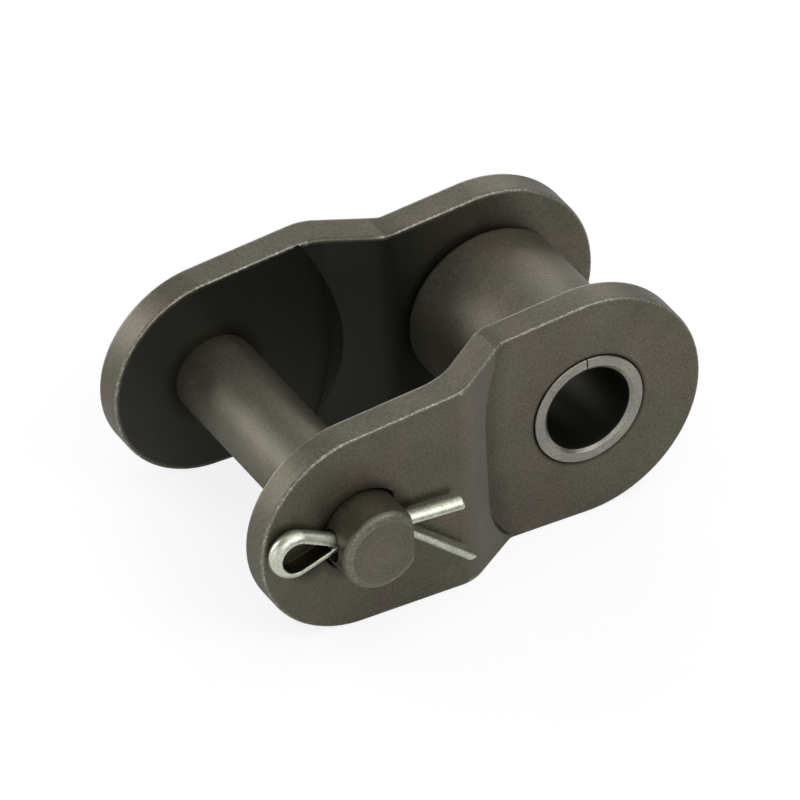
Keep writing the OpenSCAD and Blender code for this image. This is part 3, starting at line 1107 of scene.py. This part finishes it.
# Painted shade on the faces that look inwards, strongest towards the pin end and gone at the bush end.
inside = add(plate_tree, "ShaderNodeAttribute", (-900, 700), attribute_name="inside")
parts = add(plate_tree, "ShaderNodeSeparateXYZ", (-900, 500))
shade_towards_pin = value_range(
    plate_tree, (-700, 500), INNER_SHADE_FULL_X / MM_PER_M, INNER_SHADE_GONE_X / MM_PER_M, 1, 0)
wire(plate_tree, (plate_tree.nodes["place"], "Object", parts, 0), (parts, "X", shade_towards_pin, "Value"))
colour_over(plate_steel, INNER_SHADE_COLOUR, product(plate_tree, (-500, 700), inside, "Fac", shade_towards_pin))
print("plate nodes under the grime:", len(plate_tree.nodes))

# %% Grime and painted shade on the plates
GRIME_AND_SHADE_COLOUR = (0.045, 0.037, 0.028)
FLAT_FOOT_AXIS = (13.76, 0)
FLAT_FOOT_R = 19.26
FRONT_FACE_Y = (-6.8, -6.4)
EYE_MIDDLE = (-15.45, -0.75)

# Axis, then the distances at which each dark layer is full and gone, and how much covers the steel
# Grime and painted shade in a ring where the pin and the bush go in.
round_pin = axis_mask(plate_steel, (-PITCH, 0), PIN_R + 0.12, PIN_R + 0.7, 0.75)
round_bush = axis_mask(plate_steel, (0, 0), BUSH_R + 0.06, BUSH_R + 0.22, 0.8, 800)
# A painted shadow of the split pin's eye on the front plate.
eye_shadow_spot = axis_mask(plate_steel, EYE_MIDDLE, 0.45, 1.15, 0.8, 1100)
# Painted shade along the foot of the wall round the outer flat.
foot_shade_band = axis_mask(plate_steel, FLAT_FOOT_AXIS, FLAT_FOOT_R - 0.3, FLAT_FOOT_R - 1.15, 0.34, 1500)

# The painted shadow of the eye lies only on the front plate. The foot is nearly an arc, and its
# painted shade stays below the wall and on the outside.
at_front = value_range(plate_tree, (-340, 1300), *(y / MM_PER_M for y in FRONT_FACE_Y), 1, 0)
wire(plate_tree, (parts, "Y", at_front, "Value"))
below_wall = axis_mask(plate_steel, FLAT_FOOT_AXIS, FLAT_FOOT_R, FLAT_FOOT_R + 0.02, 1, 1700)
outside = value_range(plate_tree, (-560, 1900), 0, 1, 1, 0)
wire(plate_tree, (inside, "Fac", outside, "Value"))
eye_shadow = product(plate_tree, (-120, 1200), eye_shadow_spot, 0, at_front)
foot_shade_low = product(plate_tree, (-120, 1500), foot_shade_band, 0, below_wall)
foot_shade = product(plate_tree, (40, 1500), foot_shade_low, 0, outside)
# The dark layers: grime with painted shade round the pin and the bush, a painted shadow behind the eye, and
# painted shade at the wall's foot.
for grime_and_shade in (round_pin, round_bush, eye_shadow, foot_shade):
    colour_over(plate_steel, GRIME_AND_SHADE_COLOUR, grime_and_shade)
print("plate nodes:", len(plate_tree.nodes))

# %% [markdown]
# The end faces of the bush are the brightest steel, and its bore and the narrow part of its mouth
# are painted dark as shade. The roller and the pin are satin like the plates, and the split pin is
# zinc-plated. Painted shade darkens the flat faces inside its eye, and the faced ends of the pin
# carry faint turning rings.

# %% Bush finish, bright at its ends, with painted shade in the bore
BUSH_COLOUR = (0.37, 0.355, 0.305)
BUSH_TINT = (0.335, 0.33, 0.295)
BORE_SHADE_COLOUR = (0.14, 0.137, 0.122)

bush_steel = skin_material("bush_steel", BUSH_COLOUR, BUSH_TINT, BARE_STEEL, 1.5, 0.1, 0.36, 0.008)
# Painted shade in the bore and on the narrow part of its mouth.
bore_shade_mask = axis_mask(bush_steel, (0, 0), BUSH_BORE_R + 0.11, BUSH_BORE_R + 0.17)
colour_over(bush_steel, BORE_SHADE_COLOUR, bore_shade_mask)
print("bush nodes:", len(bush_steel.node_tree.nodes))

# %% Roller, pin and wire finishes
ROLLER_COLOUR = (0.21, 0.19, 0.152)
ROLLER_TINT = (0.19, 0.182, 0.142)
PIN_COLOUR = (0.196, 0.18, 0.144)
PIN_TINT = (0.178, 0.172, 0.133)
ZINC_COLOUR = (0.74, 0.76, 0.665)
ZINC_TINT = (0.68, 0.72, 0.57)
BARE_ZINC = (0.88, 0.88, 0.84)
EYE_SHADE_COLOUR = (0.085, 0.07, 0.045)

roller_steel = skin_material("roller_steel", ROLLER_COLOUR, ROLLER_TINT, BARE_STEEL, 2.5, 0.12, 0.5, 0.01)
wire_zinc = skin_material("wire_zinc", ZINC_COLOUR, ZINC_TINT, BARE_ZINC, 0.6, 0.1, 0.38, 0.012)
pin_steel = skin_material("pin_steel", PIN_COLOUR, PIN_TINT, BARE_STEEL, 2.5, 0.1, 0.5, 0.008)

# Painted shade on the flat faces inside the eye.
shade_in_eye = add(wire_zinc.node_tree, "ShaderNodeAttribute", (-560, 500), attribute_name="inside")
colour_over(wire_zinc, EYE_SHADE_COLOUR, shade_in_eye, "Fac")
print("split pin nodes:", len(wire_zinc.node_tree.nodes))

# %% Turning rings on the pin
RING_WIDTH = 0.16
RING_DARKNESS = 0.12

# On the pin's round side the distance from its axis is the same everywhere, so no ring shows there
pin_tree = pin_steel.node_tree
distance = distance_node(pin_steel, (-PITCH, 0), (-780, 500))
rings = add(
    pin_tree, "ShaderNodeTexNoise", (-560, 500), noise_dimensions="1D",
    Scale=MM_PER_M / RING_WIDTH, Detail=2)
ring_share = value_range(pin_tree, (-340, 500), 0.45, 0.62, 0, RING_DARKNESS)
wire(pin_tree, (distance, "Distance", rings, "W"), (rings, 0, ring_share, "Value"))
colour_over(pin_steel, GRIME_AND_SHADE_COLOUR, ring_share)
print("pin nodes:", len(pin_tree.nodes))

# %% Finishes on the pieces
finishes = {
    "plate_steel": plate_steel, "bush_steel": bush_steel, "roller_steel": roller_steel,
    "pin_steel": pin_steel, "wire_zinc": wire_zinc,
}
slots = {
    "front_side_plate": "plate_steel", "rear_side_plate": "plate_steel", "bush": "bush_steel",
    "roller": "roller_steel", "link_pin": "pin_steel", "split_pin": "wire_zinc",
}
for node, piece in made.items():
    piece.data.materials.clear()
    piece.data.materials.append(finishes[slots[node]])
    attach(piece, "roller" if node == "roller" else "link_frame")
    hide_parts(node)
print("finishes:", ", ".join(finishes))

# %% [markdown]
# ## Stage, light and camera
# The link stands on the lower flanks of its plates, which lean a little because its two ends
# differ in height. So the floor is a large plane that touches both ends.
# A photographer lays such a small thing on white paper. The camera sees the paper mostly as an
# even glow, with a share of its shadow, while the steel mirrors plain paper under the lamps.

# %% Floor
FLOOR_SIZE = 4.0
SHADOW_SHARE = 0.3
PAPER_GLOW = 1.16
PAPER_COLOUR = (0.85, 0.85, 0.85, 1)
PAPER_ROUGHNESS = 0.9
PAPER_SHINE = 0.1

floor_normal = Vector((math.sin(FLANK_ANGLE), 0, math.cos(FLANK_ANGLE)))
floor_point = -floor_normal * BUSH_END_R / MM_PER_M
let_go()
bpy.ops.mesh.primitive_plane_add(
    size=FLOOR_SIZE, location=floor_point, rotation=(0, FLANK_ANGLE, 0))
floor = bpy.context.object
floor.name = "floor"

paper = bpy.data.materials.new("paper")
paper.use_nodes = True
paper_tree = paper.node_tree
sheet = paper_tree.nodes["Principled BSDF"]
sheet.inputs["Base Color"].default_value = PAPER_COLOUR
sheet.inputs["Roughness"].default_value = PAPER_ROUGHNESS
sheet.inputs["Specular IOR Level"].default_value = PAPER_SHINE
glow = add(paper_tree, "ShaderNodeEmission", (0, -300))
glow.inputs["Strength"].default_value = PAPER_GLOW
path = add(paper_tree, "ShaderNodeLightPath", (-400, 300))
share = add(paper_tree, "ShaderNodeMath", (-200, 300), operation="MULTIPLY")
share.inputs[1].default_value = 1 - SHADOW_SHARE
blend = add(paper_tree, "ShaderNodeMixShader", (200, 0))
wire(paper_tree, (path, "Is Camera Ray", share, 0), (share, 0, blend, 0), (sheet, 0, blend, 1),
     (glow, 0, blend, 2), (blend, 0, paper_tree.nodes["Material Output"], "Surface"))
floor.data.materials.append(paper)
print("floor leans", round(math.degrees(FLANK_ANGLE), 2), "degrees")

# %% [markdown]
# The photo shows satin metal in a soft white tent, brightest low behind the link and high on the
# right, and dark straight above, so that the tops of round pieces fall dark. Large square lamps
# stand in a ring round the link, low ones and high ones, and each has its own strength. A metal
# face shows what it mirrors, so a large lamp does more for its look than a strong small one.

# %% Soft lamps in a ring
LAMP_SIZE = 0.4
LAMP_DISTANCE = 0.6
LOW, HIGH, ABOVE = 12, 42, 90
CAMERA_AZIMUTH = -0.4887241
scene = bpy.context.scene
link_middle = Vector((-PITCH / 2, 0, 0)) / MM_PER_M

# Name, degrees to the right of the camera's side, degrees above the floor, watts
LAMPS = [
    ("above", 0, ABOVE, 0.46),
    ("low_front", 0, LOW, 0.3),
    ("low_left", -60, LOW, 0.55),
    ("low_back_left", -120, LOW, 1.6),
    ("low_back", 180, LOW, 0.95),
    ("high_front", 0, HIGH, 0.85),
    ("high_right", 60, HIGH, 1.08),
    ("high_back_right", 120, HIGH, 0.6),
    ("high_back", 180, HIGH, 0.26),
    ("high_back_left", -120, HIGH, 0.24),
]


def towards(turn, rise):
    """The direction that is turned to the right of -Y and raised, by two angles in radians."""
    return Vector((math.sin(turn) * math.cos(rise), -math.cos(turn) * math.cos(rise), math.sin(rise)))


def soft_box(name, side_degrees, height_degrees, watts):
    """A large square lamp that looks at the middle of the link."""
    way = towards(CAMERA_AZIMUTH + math.radians(side_degrees), math.radians(height_degrees))
    lamp_data = bpy.data.lights.new(name, "AREA")
    lamp_data.size = LAMP_SIZE
    lamp_data.energy = watts
    lamp = bpy.data.objects.new(name, lamp_data)
    lamp.location = link_middle + LAMP_DISTANCE * way
    lamp.rotation_euler = way.to_track_quat("Z", "Y").to_euler()
    scene.collection.objects.link(lamp)


for lamp_row in LAMPS:
    soft_box(*lamp_row)
print("lamps:", len(LAMPS))

# %% [markdown]
# Past the floor the camera looks into the room. It has to see plain white there, but white light
# from everywhere would flatten the steel. So the room is white for the camera and dim for all
# else.

# %% Room light
ROOM_LIGHT = 0.06
world = bpy.data.worlds.new("studio")
scene.world = world
world.use_nodes = True
world_tree = world.node_tree
background = world_tree.nodes["Background"]
background.inputs["Color"].default_value = (1, 1, 1, 1)
seen = add(world_tree, "ShaderNodeLightPath", (-500, 0))
strength = value_range(world_tree, (-250, 0), 0, 1, ROOM_LIGHT, 1)
wire(world_tree, (seen, "Is Camera Ray", strength, "Value"), (strength, "Result", background, "Strength"))

# %% [markdown]
# The photo was taken with a long lens from the front, a little from the left and well above. The
# camera's place, tilt and lens were fitted to the outline of the link in the photo. It looks at
# the middle of the link, but for a small shift that frames the link as the photo does.

# %% Camera
CAMERA_ELEVATION = 0.6652092
CAMERA_ROLL = -0.05451048
CAMERA_DISTANCE_MM = 572.216
AIM_RIGHT_MM = -0.170635
AIM_UP_MM = -0.296485
LENS_MM = 577.67
SENSOR_MM = 36

back = towards(CAMERA_AZIMUTH, CAMERA_ELEVATION)
level_right = Vector((math.cos(CAMERA_AZIMUTH), math.sin(CAMERA_AZIMUTH), 0))
level_up = back.cross(level_right)
right = math.cos(CAMERA_ROLL) * level_right + math.sin(CAMERA_ROLL) * level_up
up = -math.sin(CAMERA_ROLL) * level_right + math.cos(CAMERA_ROLL) * level_up
aim = Vector((-PITCH / 2, 0, 0)) + AIM_RIGHT_MM * right + AIM_UP_MM * up
eye = (aim + CAMERA_DISTANCE_MM * back) / MM_PER_M

camera_data = bpy.data.cameras.new("camera")
camera_data.lens = LENS_MM
camera_data.sensor_width = SENSOR_MM
camera_data.clip_start = 0.01
camera_data.clip_end = 20
camera = bpy.data.objects.new("camera", camera_data)
camera.matrix_world = Matrix.Translation(eye) @ Matrix((right, up, back)).transposed().to_4x4()
scene.collection.objects.link(camera)
scene.camera = camera
scene.view_settings.view_transform = "Standard"
print("camera at", [round(v, 3) for v in eye], "m")
